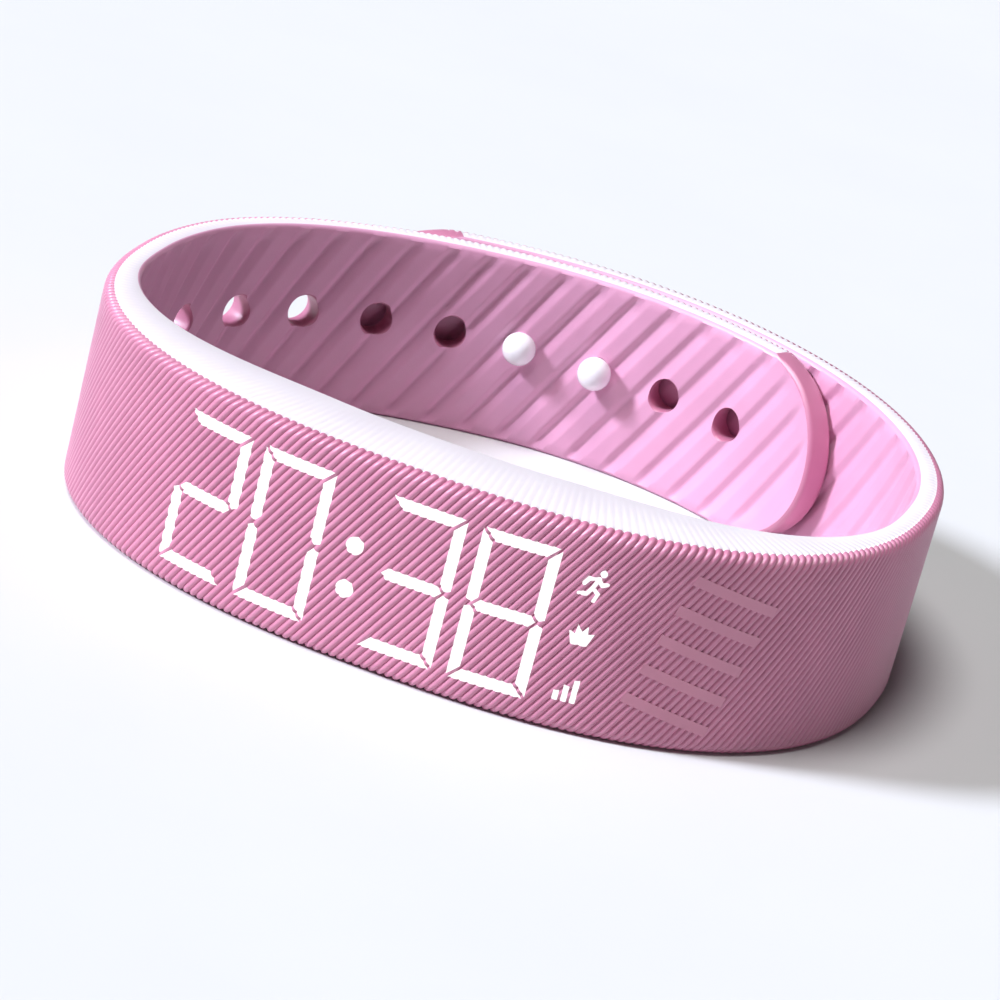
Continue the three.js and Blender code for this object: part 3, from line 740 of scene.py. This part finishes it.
def pocket_cutter():
    low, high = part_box("capsule_tray")
    bottom, top = low.z * PER_METRE - POCKET_MARGIN, high.z * PER_METRE + POCKET_MARGIN
    made = prism("pocket_cutter", pocket_outline(), bottom, top, INNER)
    made.data.transform(SWAP_HEIGHT_AND_DEPTH)
    face_outwards(made.data)
    return made


def carved_flat_band():
    band = flat_band()
    keepers = [tip_keeper(TAIL_TIP, KEEPER_REACH, TAIL_TIP_LENGTH),
               tip_keeper(BUCKLE_TIP, -KEEPER_REACH, BUCKLE_TIP_LENGTH)]
    combine(band, keepers, "INTERSECT")
    free, gripping = hole_lengths()
    holes = [round_cutter(s, HOLE_RADIUS) for s in free]
    holes += [round_cutter(s, GRIPPING_RADIUS, 1.0) for s in gripping]
    combine(band, holes, "DIFFERENCE")
    recess = prism("recess", plate_outline(RECESS_MARGIN), -1, PLATE_THICKNESS + 0.15, OUTER)
    combine(band, [recess, pocket_cutter()], "DIFFERENCE")
    seats = [round_cutter(s, RIVET_SEAT_RADIUS, 1.0, flare=0.0) for s in stud_lengths(1.5)]
    combine(band, seats, "DIFFERENCE")
    return band


# ---- cutting the band where it bends

# The seams lie just outside these lengths to both sides of a hinge line in each strap.
BUCKLE_BEND = 8.4
TAIL_BEND = 4.3
SEAM_MARGIN = 0.6
TAIL_SEAM = TAIL_FLEX + TAIL_BEND + SEAM_MARGIN
BUCKLE_SEAM = BUCKLE_FLEX - BUCKLE_BEND - SEAM_MARGIN
BUCKLE_END_SEAM = BUCKLE_END_FLEX - BUCKLE_BEND - SEAM_MARGIN
BAND_PIECES = {
    "silicone_tail_strap": (TAIL_TIP - 5, TAIL_SEAM),
    "silicone_front_sleeve": (TAIL_SEAM, BUCKLE_SEAM),
    "silicone_buckle_strap": (BUCKLE_SEAM, BUCKLE_END_SEAM),
    "silicone_buckle_end": (BUCKLE_END_SEAM, BUCKLE_TIP + 5),
}


def split_band(whole, flat):
    """Pieces of the bent band between the seams, each closed and shaded as the whole was."""
    mesh = whole.data
    shade_smooth(mesh, SHARP_ANGLE)
    normals = vectors(mesh.corner_normals, "vector")
    co = vectors(mesh.vertices, "co")
    centres = [float(np.mean(flat[list(p.vertices), 0])) for p in mesh.polygons]
    sharp_edges = [tuple(e.vertices) for e in mesh.edges if e.use_edge_sharp]
    pieces = {}
    for name, (low, high) in BAND_PIECES.items():
        chosen = [p for p, s in zip(mesh.polygons, centres) if low <= s < high]
        used = sorted({v for p in chosen for v in p.vertices})
        renumber = {v: i for i, v in enumerate(used)}
        faces = [tuple(renumber[v] for v in p.vertices) for p in chosen]
        corner = [tuple(normals[i]) for p in chosen for i in p.loop_indices]
        kinds = [p.material_index for p in chosen]
        sharp = {tuple(sorted((renumber[a], renumber[b]))) for a, b in sharp_edges
                 if a in renumber and b in renumber}
        for ring in open_rings(faces):
            faces.append(tuple(ring))
            kinds.append(OUTER)
            a, b, c = (co[used[ring[i * len(ring) // 3]]] for i in range(3))
            corner += [tuple(Vector(np.cross(b - a, c - a)).normalized())] * len(ring)
            sharp |= {tuple(sorted((a, b))) for a, b in zip(ring, ring[1:] + ring[:1])}
        piece = mesh_object(name, co[used], faces)
        piece.data.polygons.foreach_set("material_index", kinds)
        piece.data.polygons.foreach_set("use_smooth", [True] * len(faces))
        marks = [tuple(sorted(e.vertices)) in sharp for e in piece.data.edges]
        edge_marks = piece.data.attributes.new("sharp_edge", "BOOLEAN", "EDGE")
        edge_marks.data.foreach_set("value", marks)
        for material in BAND_MATERIALS:
            piece.data.materials.append(material)
        piece.data.normals_split_custom_set(corner)
        pieces[name] = piece
    return pieces


def open_rings(faces):
    """Closed loops of the edges that belong to one face only, turned to close the surface."""
    following = {}
    directed = {(face[i], face[(i + 1) % len(face)]) for face in faces for i in range(len(face))}
    for a, b in directed:
        if (b, a) not in directed:
            following[b] = a
    rings = []
    while following:
        start = next(iter(following))
        ring = [start]
        step = following.pop(start)
        while step != start:
            ring.append(step)
            step = following.pop(step)
        rings.append(ring)
    return rings


def silicone_band():
    whole = carved_flat_band()
    with editing(whole.data) as shape:
        for length in sorted({end for ends in BAND_PIECES.values() for end in ends}):
            cut_across(shape, length, dist=1e-5)
    flat = bend_round_loop(whole.data)
    pieces = split_band(whole, flat)
    discard(whole)
    sleeve = pieces["silicone_front_sleeve"]
    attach(sleeve, "band")
    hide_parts("band_sleeve")
    strap = pieces["silicone_buckle_strap"]
    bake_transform(strap)
    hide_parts("buckle_strap_middle")
    end = pieces["silicone_buckle_end"]
    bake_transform(end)
    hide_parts("buckle_strap_end")
    tail = pieces["silicone_tail_strap"]
    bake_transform(tail)
    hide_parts("tail_strap")
    return pieces


# ---- display, icons and touch bars

DIGIT_HALF_WIDTH = 2.95
DIGIT_HALF_HEIGHT = 5.95
DIGIT_STROKE = 0.88
DIGIT_GAP = 0.18
DIGIT_MIDDLE = 7.85
INLAY_DEPTH = 0.4
DIGITS = {"2": -15.35, "0": -8.3, "3": 1.9, "8": 8.95}
LIT_SEGMENTS = {"2": "abged", "0": "abcdef", "3": "abgcd", "8": "abcdefg"}
COLON_LENGTH = -2.8
COLON_RADIUS = 0.69
COLON_DOTS = (("upper", 9.06), ("lower", 5.65))
PROUD = 0.012


def seven_segments():
    """Outlines of the seven segments, a to g, round the middle of a digit."""
    w, h, k, g = DIGIT_HALF_WIDTH, DIGIT_HALF_HEIGHT, DIGIT_STROKE, DIGIT_GAP
    top = [(-w + g, h), (w - g, h), (w - k - g, h - k), (-w + k + g, h - k)]
    upper_right = [(w, h - g), (w, 0.35), (w - k / 2, 0.12), (w - k, k / 2 + g), (w - k, h - k - g)]
    middle = [(-w + k / 2 + g, 0), (-w + k + g, k / 2), (w - k - g, k / 2), (w - k / 2 - g, 0),
              (w - k - g, -k / 2), (-w + k + g, -k / 2)]

    def flipped(outline, across, down):
        made = [(a * across, b * down) for a, b in outline]
        return made if across * down > 0 else made[::-1]

    return {"a": top, "b": upper_right, "c": flipped(upper_right, 1, -1), "d": flipped(top, 1, -1),
            "e": flipped(upper_right, -1, -1), "f": flipped(upper_right, -1, 1), "g": middle}


def face_slab(low, high, ribbed):
    """A slab under the front's flat face, ribbed or smooth, that stands a hair proud of it."""
    columns = np.arange(int(low / COLUMN_STEP), int(high / COLUMN_STEP))
    ends = FILLET_STEPS + 1
    rows = outer_skin(columns)[ends:-ends]
    for row in rows:
        row[:, 2] = (row[:, 2] if ribbed else 0) - PROUD
    floors = [np.column_stack([row[:, 0], row[:, 1], np.full(len(row), INLAY_DEPTH)]) for row in rows]
    count, total = len(columns), len(columns) * len(rows)
    faces = []
    for k in range(len(rows) - 1):
        for quad in strip(k * count, (k + 1) * count, 0, count):
            faces += [quad, tuple(total + v for v in reversed(quad))]
    border = list(range(count)) + [k * count + count - 1 for k in range(1, len(rows))]
    border += [(len(rows) - 1) * count + i for i in range(count - 2, -1, -1)]
    border += [k * count for k in range(len(rows) - 2, 0, -1)]
    for a, b in zip(border, border[1:] + border[:1]):
        faces.append((b, a, total + a, total + b))
    made = mesh_object("face_slab", np.vstack(rows + floors), faces)
    face_outwards(made.data)
    return made


def inlay(name, outlines, material, ribbed=True):
    """Part of the band's face cut out along the outlines, a hair proud of the band."""
    made, *others = [prism(name, outline, -1, INLAY_DEPTH + 1) for outline in outlines]
    combine(made, others, "UNION")
    lengths = [a for outline in outlines for a, _ in outline]
    combine(made, [face_slab(min(lengths) - 5, max(lengths) + 5, ribbed)], "INTERSECT")
    made.name = name
    made.data.name = name
    bend_round_loop(made.data)
    shade_smooth(made.data, SHARP_ANGLE)
    give_material(made, material)
    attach(made, "band")


def stroke(start, end, width):
    """A straight stroke with round ends."""
    (a, b), (c, d) = start, end
    along = atan2(d - b, c - a)
    made = [(a + width / 2 * cos(along + t), b + width / 2 * sin(along + t))
            for t in np.linspace(pi / 2, 3 * pi / 2, 7)]
    made += [(c + width / 2 * cos(along + t), d + width / 2 * sin(along + t))
             for t in np.linspace(-pi / 2, pi / 2, 7)]
    return made


def runner_icon(length, height):
    """A running figure: a head, a leaning body, two bent arms and two bent legs."""
    def at(a, b):
        return (length + a, height + b)

    width = 0.3
    limbs = [((0.25, 0.55), (-0.1, -0.25)), ((0.25, 0.5), (-0.45, 0.45)), ((-0.45, 0.45), (-0.75, 0.0)),
             ((0.25, 0.5), (0.5, 0.1)), ((0.5, 0.1), (0.9, 0.25)), ((-0.1, -0.25), (0.4, -0.6)),
             ((0.4, -0.6), (0.2, -1.2)), ((-0.1, -0.25), (-0.4, -0.75)), ((-0.4, -0.75), (-0.95, -0.8))]
    return [disc(*at(0.45, 0.98), 0.27)] + [stroke(at(*a), at(*b), width) for a, b in limbs]


def flame_icon(length, height):
    """A broad three-pointed flame."""
    points = [(-0.9, 0.25), (-0.45, 0.1), (-0.35, 0.8), (0.05, 0.3), (0.4, 0.8), (0.5, 0.15),
              (0.95, 0.35), (0.6, -0.75), (-0.6, -0.75)]
    return [[(length + a, height + b) for a, b in points]]


def steps_icon(length, height):
    """Three bars of growing height."""
    bars = [(-0.65, 0.75), (0.0, 1.25), (0.65, 1.8)]
    half, foot = 0.21, height - 0.9
    return [[(length + a - half, foot), (length + a + half, foot),
             (length + a + half, foot + tall), (length + a - half, foot + tall)] for a, tall in bars]


ICON_LENGTH = 14.65
ICONS = {"runner": (runner_icon, 11.75), "flame": (flame_icon, 7.75), "steps": (steps_icon, 3.4)}


def display():
    segments = seven_segments()
    lit = {}
    for digit, length in DIGITS.items():
        for key in LIT_SEGMENTS[digit]:
            outline = [(length + a, DIGIT_MIDDLE + b) for a, b in segments[key]]
            lit[f"display_digit_{digit}_segment_{key}"] = [outline]
    for name, height in COLON_DOTS:
        lit[f"display_colon_{name}"] = [disc(COLON_LENGTH, height, COLON_RADIUS, 28)]
    for name, (outlines_at, height) in ICONS.items():
        lit[f"display_icon_{name}"] = outlines_at(ICON_LENGTH, height)
    for name, outlines in lit.items():
        inlay(name, outlines, DISPLAY_LIGHT)


BAR_COUNT = 5
BAR_LENGTH = 7.2
BAR_WIDTH = 0.82
BAR_SLOPE = radians(-15.8)
FIRST_BAR = (21.6, 13.65)
BAR_STEP = (-0.71, -2.44)


def touch_bars():
    along = Vector((cos(BAR_SLOPE), sin(BAR_SLOPE)))
    across = Vector((-along.y, along.x)) * (BAR_WIDTH / 2)
    for i in range(BAR_COUNT):
        start = Vector((FIRST_BAR[0] + i * BAR_STEP[0], FIRST_BAR[1] + i * BAR_STEP[1]))
        end = start + along * BAR_LENGTH
        corners = [start + across, start - across, end - across, end + across]
        outline = [(c.x, c.y) for c in corners]
        inlay(f"touch_bar_{i + 1}", [outline], BAR_SILICONE, ribbed=False)


# ---- clasp

def turned(name, profile, place, axis, steps=48):
    """A lathe-turned solid: (radius, distance along the axis) points, first and last on the axis."""
    inside = profile[1:-1]
    points = [(0, 0, profile[0][1])]
    for radius, along in inside:
        points += [(radius * cos(a), radius * sin(a), along)
                   for a in np.linspace(0, 2 * pi, steps, endpoint=False)]
    points.append((0, 0, profile[-1][1]))
    faces = []
    for i in range(steps):
        j = (i + 1) % steps
        faces.append((0, 1 + j, 1 + i))
        for k in range(len(inside) - 1):
            a = 1 + k * steps
            faces.append((a + i, a + j, a + steps + j, a + steps + i))
        last = 1 + (len(inside) - 1) * steps
        faces.append((last + i, last + j, len(points) - 1))
    made = mesh_object(name, points, faces)
    turn = Vector((0, 0, 1)).rotation_difference(axis).to_matrix().to_4x4()
    made.data.transform(Matrix.Translation(place) @ turn @ Matrix.Scale(MM, 4))
    face_outwards(made.data)
    shade_smooth(made.data, 40)
    return made


def clasp_studs():
    """Ball heads on slim necks; each neck ends in a rivet that shows in the plate."""
    axis = Vector((cos(STUD_TILT), sin(STUD_TILT), 0))
    for side in ("right", "left"):
        centre_x, centre_y, rivet = stud_head(side)
        rivet -= 0.03
        head = [(STUD_HEAD_RADIUS * sin(a), -STUD_HEAD_RADIUS * cos(a))
                for a in np.radians(range(0, 140, 6))]
        neck = [(0.98, 1.35), (0.98, 1.9), (0.98, rivet - 0.75), (0.8, rivet - 0.7),
                (0.8, rivet - 0.08), (0.74, rivet), (0, rivet)]
        middle = Vector((centre_x, centre_y, HOLES_Z)) * MM
        stud = turned(f"stud_{side}", [(0, -STUD_HEAD_RADIUS)] + head[1:] + neck, middle, axis)
        give_material(stud, STUD_PLASTIC)
        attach(stud, "buckle_end")
        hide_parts(f"clasp_stud_{side}")


def clasp_plate():
    plate = prism("plate", plate_outline(0.0), 0.02, PLATE_THICKNESS)
    first, last = STUDS_MIDDLE - PLATE_LENGTH / 2, STUDS_MIDDLE + PLATE_LENGTH / 2
    with editing(plate.data) as shape:
        for length in np.arange(ceil(first) + 0.5, last, 1.0):
            cut_across(shape, length, dist=1e-4)
    rivet_holes = [round_cutter(s, RIVET_HOLE_RADIUS, 1.0, 0.02, PLATE_THICKNESS, 0.1)
                   for s in stud_lengths(0.35)]
    combine(plate, rivet_holes, "DIFFERENCE")
    bend_round_loop(plate.data)
    modifier = plate.modifiers.new("edges", "BEVEL")
    modifier.width = 0.18 * MM
    modifier.segments = 3
    modifier.limit_method = "ANGLE"
    modifier.angle_limit = radians(60)
    apply_modifiers(plate)
    shade_smooth(plate.data, 30)
    plate.name = "clasp_cover_plate"
    give_material(plate, STUD_PLASTIC)
    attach(plate, "buckle_end")
    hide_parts("clasp_plate")


# ---- tracker capsule

def depth_curve(depth_at):
    """Plan positions of a surface inside the front, as x and y that go with each other."""
    lengths = np.linspace(-42, 42, 841)
    return band_xy(lengths, depth_at(lengths) if callable(depth_at) else depth_at)


def round_corner(before, corner, after, reach):
    """Points of a smooth turn from one side of a corner to the other."""
    before, corner, after = (np.array(p, float) for p in (before, corner, after))
    start = corner + (before - corner) * reach / np.linalg.norm(before - corner)
    end = corner + (after - corner) * reach / np.linalg.norm(after - corner)
    return [tuple((1 - u) ** 2 * start + 2 * u * (1 - u) * corner + u * u * end)
            for u in np.linspace(0, 1, 6)]


CORNER_WIDENING = 3.1


def upright_block(name, front, back, left, right, low, high, rounding, columns=64):
    """A block between two curved upright surfaces, with its corners and edges rounded.

    The corners turn wider than the edges' rounding, so no inset outline crosses itself."""
    inside = np.linspace(left, right, columns + 1)[3:-3]

    def on(surface, x):
        return x, float(np.interp(x, *surface))

    corners = [on(front, left), on(front, right), on(back, right), on(back, left)]
    near, far = [on(front, x) for x in inside], [on(back, x) for x in inside[::-1]]
    reach = max(CORNER_WIDENING * rounding, 0.02)
    outline = round_corner(corners[3], corners[0], near[0], reach) + near
    outline += round_corner(near[-1], corners[1], corners[2], reach)
    outline += round_corner(corners[1], corners[2], far[0], reach) + far
    outline += round_corner(far[-1], corners[3], corners[0], reach)
    outline = np.array(outline)
    along = np.roll(outline, -1, axis=0) - np.roll(outline, 1, axis=0)
    inward = np.column_stack([-along[:, 1], along[:, 0]]) / np.linalg.norm(along, axis=1)[:, None]
    turns = [radians(a) for a in (90, 67.5, 45, 22.5, 0)] if rounding else [0.0]
    pulls = [(rounding * (1 - sin(a)), rounding * (1 - cos(a))) for a in turns]
    inset_at = {low + up: pull for up, pull in pulls}
    inset_at.update({high - down: pull for down, pull in pulls})
    levels = sorted(inset_at)
    made = stack(name, levels, lambda level: [tuple(p) for p in outline + inward * inset_at[level]])
    made.data.transform(Matrix.Scale(MM, 4))
    return made


COVER_SINK = 0.2
COVER_THICKNESS = 0.8
COVER_ROUNDING = 0.12
GASKET_THICKNESS = 0.4
SEAM_GAP = 0.1
TRAY_FRONT = 1.8
TRAY_ROUNDING = 0.3
TRAY_WALL = 0.6
CAVITY_BACK = 9.5
CONTACT_HOLE_RADIUS = 1.02
PIN_RADIUS = 0.8


def cover_back(length):
    return thickness(length) - COVER_SINK


def cover_front(length):
    return cover_back(length) - COVER_THICKNESS


def tray_back(length):
    return cover_front(length) - 2 * SEAM_GAP - GASKET_THICKNESS


def charging_places():
    """Number, middle, length along the band and depth of each charging contact."""
    for i in (1, 2, 3):
        low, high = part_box(f"charging_contact_{i}")
        middle = (low + high) / 2
        yield i, middle, *length_and_depth(middle.x * PER_METRE, middle.y * PER_METRE)


def capsule_shells():
    low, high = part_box("capsule_cover")
    low, high = low * PER_METRE, high * PER_METRE
    cover = upright_block("capsule_back_cover", depth_curve(cover_front), depth_curve(cover_back),
                          low.x, high.x, low.z, high.z, COVER_ROUNDING)
    for _, middle, length, _ in charging_places():
        profile = [(0, -4), (CONTACT_HOLE_RADIUS, -4), (CONTACT_HOLE_RADIUS, 4), (0, 4)]
        cutter = turned("contact_cutter", profile, middle, outward(length), 40)
        combine(cover, [cutter], "DIFFERENCE")
    tray = upright_block("capsule_front_tray", depth_curve(TRAY_FRONT), depth_curve(tray_back),
                         low.x, high.x, low.z, high.z, TRAY_ROUNDING)
    cavity = upright_block("cavity", depth_curve(TRAY_FRONT + TRAY_WALL), depth_curve(CAVITY_BACK),
                           low.x + TRAY_WALL, high.x - TRAY_WALL, low.z + TRAY_WALL,
                           high.z - TRAY_WALL, 0)
    combine(tray, [cavity], "DIFFERENCE")
    for piece, node in ((cover, "capsule_cover"), (tray, "capsule_tray")):
        give_material(piece, CAPSULE_PLASTIC)
        shade_smooth(piece.data, 35)
        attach(piece, "capsule")
        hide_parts(node)


def charging_contacts():
    """Domed gold pins, one in each hole of the cover."""
    for i, middle, length, depth in charging_places():
        reach = float(cover_back(from_front(length))) - 0.06 - depth
        back = depth - 5.2
        profile = [(0, -back), (PIN_RADIUS, -back), (PIN_RADIUS, reach - 0.12), (0.74, reach - 0.04),
                   (0.6, reach), (0, reach)]
        pin = turned(f"charging_pin_{i}", profile, middle, -outward(length), 40)
        give_material(pin, GOLD_PLATING)
        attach(pin, "capsule")
        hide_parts(f"charging_contact_{i}")


NODE_FINISHES = {
    "capsule_gasket battery_pad": SEAL_RUBBER,
    "display_light_mask processor_chip motion_sensor_chip": CHIP_RESIN,
    "digit_light_guide_1 digit_light_guide_2 digit_light_guide_3 digit_light_guide_4": LIGHT_GUIDE,
    "colon_light_guide icon_light_guide": LIGHT_GUIDE,
    "led_board main_board": CIRCUIT_BOARD,
    "touch_electrode": GOLD_PLATING,
    "touch_electrode_lead": FLEX_FILM,
    "battery_cell": CELL_FOIL,
    "vibration_motor": MOTOR_STEEL,
    "radio_antenna_chip": CERAMIC,
}


def finish_nodes():
    for names, material in NODE_FINISHES.items():
        for name in names.split():
            give_material(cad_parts[name], material)


# ---- floor, light and camera

FLOOR_REACH = 3.0


def floor():
    corners = [(-1, -1, 0), (1, -1, 0), (1, 1, 0), (-1, 1, 0)]
    made = mesh_object("floor", corners, [(0, 1, 2, 3)], FLOOR_REACH)
    material, tree, shader, place = new_material("floor_paper")
    tinted(tree, shader, noise(tree, place, 30.0), (0.66, 0.66, 0.662), (0.675, 0.675, 0.675))
    set_inputs(shader, {"Roughness": 0.9, "Specular IOR Level": 0.1})
    made.data.materials.append(material)


def sun(name, place, spread, strength, colour=(1, 1, 1)):
    """A large light far away: even over the floor, with soft edges."""
    data = bpy.data.lights.new(name, "SUN")
    data.angle = radians(spread)
    data.energy = strength
    data.color = colour
    made = new_object(name, data)
    made.location = place
    made.rotation_euler = (-Vector(place)).to_track_quat("-Z", "Y").to_euler()


def studio_world():
    """A dim room with a pale wall just above the floor's horizon."""
    world = bpy.data.worlds.new("studio")
    world.use_nodes = True
    tree = world.node_tree
    split = tree.nodes.new("ShaderNodeSeparateXYZ")
    tree.links.new(tree.nodes.new("ShaderNodeTexCoord").outputs["Generated"], split.inputs["Vector"])
    wall, room = (0.86, 0.86, 0.87), (0.05, 0.05, 0.052)
    shades = ramp(tree, split.outputs["Z"], [(0.0, wall), (0.09, wall), (0.16, room)])
    tree.links.new(shades, tree.nodes["Background"].inputs["Color"])
    bpy.context.scene.world = world


def lights():
    studio_world()
    sun("key", (-0.76, -0.41, 0.60), 10.5, 4.1, (0.92, 0.98, 1.12))
    sun("top", (-0.2, -0.2, 0.96), 24, 2.1)
    bpy.context.scene.view_settings.view_transform = "Standard"


AZIMUTH = 0.22834
ELEVATION = 0.377
ROLL = 0.25928
DISTANCE = 327.46
LENS_SHARE = 4.18612


def camera():
    """The camera stands in front, a little to the right and above, turned about its own axis."""
    data = bpy.data.cameras.new("camera")
    data.sensor_width = 36
    data.lens = 36 * LENS_SHARE
    data.shift_x = 0.018
    data.shift_y = 0.060
    back = Vector((sin(AZIMUTH) * cos(ELEVATION), -cos(AZIMUTH) * cos(ELEVATION),
                   sin(ELEVATION)))
    right = Vector((cos(AZIMUTH), sin(AZIMUTH), 0))
    up = back.cross(right)
    tilted_right = cos(ROLL) * right + sin(ROLL) * up
    tilted_up = back.cross(tilted_right)
    made = new_object("camera", data)
    place = Vector((0, CENTRE_Y, 0)) + back * DISTANCE
    rotation = Matrix((tilted_right, tilted_up, back)).transposed().to_4x4()
    made.matrix_world = Matrix.Translation(place * MM) @ rotation
    bpy.context.scene.camera = made


camera()
lights()
floor()
silicone_band()
display()
touch_bars()
clasp_studs()
clasp_plate()
capsule_shells()
charging_contacts()
finish_nodes()

bpy.context.view_layer.update()
